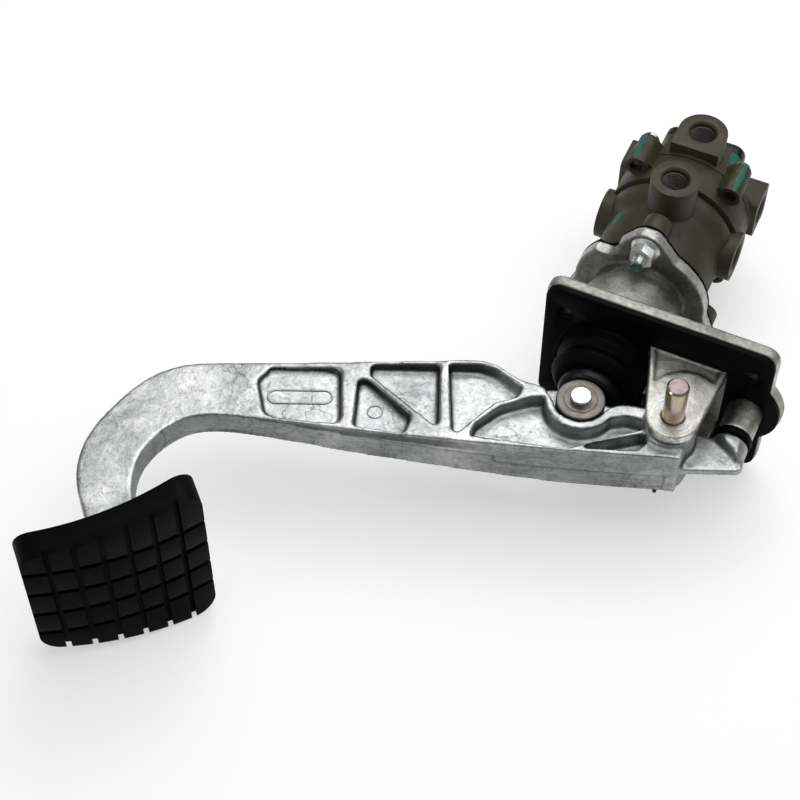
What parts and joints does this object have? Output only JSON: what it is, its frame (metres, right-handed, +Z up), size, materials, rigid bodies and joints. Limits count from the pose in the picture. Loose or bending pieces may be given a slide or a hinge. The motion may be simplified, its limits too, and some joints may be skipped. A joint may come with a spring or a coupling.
{
  "type": "truck foot brake valve",
  "caption": "Hanging brake pedal on a bolt-on bracket that pushes a two-circuit air brake valve through rollers and a plunger.",
  "frame": {"origin": "middle of the four bolt holes, on the rubber sheet's face that meets the dash panel", "axes": "+Y from the driver to the engine along the valve, +Z up, the pedal hanging towards -Z; the side ports face -X"},
  "size_m": [0.1138, 0.4496, 0.3473],
  "materials": {
    "bare_casting": "bare die-cast aluminium, mottled and lightly marked by handling",
    "valve_casting": "dark olive-brown coating on castings, satin",
    "black_rubber": "matt black moulded rubber",
    "inner_rubber": "black seal rubber",
    "gasket_fibre": "thin dark gasket sheet",
    "black_plastic": "black moulded nylon",
    "plated_pin": "yellow-passivated steel with a faint rainbow sheen",
    "zinc_steel": "bright zinc plate",
    "dark_steel": "black oiled steel",
    "roller_steel": "turned and hardened steel, warm grey",
    "bush_steel": "sintered bearing steel",
    "bright_steel": "polished steel",
    "spring_steel": "plain spring wire",
    "machined_aluminium": "turned aluminium"
  },
  "bodies": {
    "bracket_and_valve": {"mounting_bracket": "bare_casting", "mounting_gasket": "black_rubber", "stop_bumper": "black_rubber", "fulcrum_pin": "plated_pin", "split_pin": "dark_steel", "plunger_guide": "bush_steel", "plunger_boot": "black_rubber", "adapter_gasket": "gasket_fibre", "lower_valve_body": "valve_casting", "upper_valve_body": "valve_casting", "end_cover": "black_plastic", "exhaust_flap": "inner_rubber", "body_screws": "zinc_steel", "cover_screws": "zinc_steel", "adapter_studs": "zinc_steel", "flange_nuts": "zinc_steel", "primary_inlet_valve": "inner_rubber", "secondary_inlet_valve": "inner_rubber", "primary_valve_retainer": "machined_aluminium", "secondary_valve_retainer": "machined_aluminium", "primary_valve_spring": "spring_steel", "secondary_valve_spring": "spring_steel", "primary_return_spring": "spring_steel"},
    "pedal": {"pedal_arm": "bare_casting", "pedal_pad": "black_rubber", "hub_bushes": "bush_steel", "roller_pin": "bright_steel", "roller_bushes": "bush_steel"},
    "near_roller": {"near_roller": "roller_steel"},
    "far_roller": {"far_roller": "roller_steel"},
    "plunger": {"plunger_cap": "black_plastic", "plunger": "black_plastic"},
    "primary_piston": {"primary_piston": "machined_aluminium", "primary_piston_ring": "inner_rubber", "control_spring": "spring_steel"},
    "relay_piston": {"relay_piston": "machined_aluminium", "relay_piston_ring": "inner_rubber"}
  },
  "joints": [
    {"name": "pedal_hinge", "type": "hinge", "parent": "bracket_and_valve", "child": "pedal", "pos_m": [0, -0.04, 0.024], "axis": [1, 0, 0], "range_deg": [0, 9.5], "stiffness_Nm_per_rad": 60, "springref_deg": -5.73},
    {"name": "near_roller_spin", "type": "hinge", "parent": "pedal", "child": "near_roller", "pos_m": [-0.011, -0.0429, -0.0285], "axis": [1, 0, 0], "continuous": true},
    {"name": "far_roller_spin", "type": "hinge", "parent": "pedal", "child": "far_roller", "pos_m": [0.011, -0.0429, -0.0285], "axis": [1, 0, 0], "continuous": true},
    {"name": "plunger_slide", "type": "slide", "parent": "bracket_and_valve", "child": "plunger", "axis": [0, 1, 0], "range_m": [0, 0.0088]},
    {"name": "primary_piston_slide", "type": "slide", "parent": "bracket_and_valve", "child": "primary_piston", "axis": [0, 1, 0], "range_m": [0, 0.0024]},
    {"name": "relay_piston_slide", "type": "slide", "parent": "bracket_and_valve", "child": "relay_piston", "axis": [0, 1, 0], "range_m": [0, 0.0022]}
  ],
  "couplings": [
    {"joint": "plunger_slide", "follows": "pedal_hinge", "m_per_rad": 0.0526},
    {"joint": "primary_piston_slide", "follows": "pedal_hinge", "m_per_rad": 0.0138},
    {"joint": "relay_piston_slide", "follows": "pedal_hinge", "m_per_rad": 0.013}
  ]
}
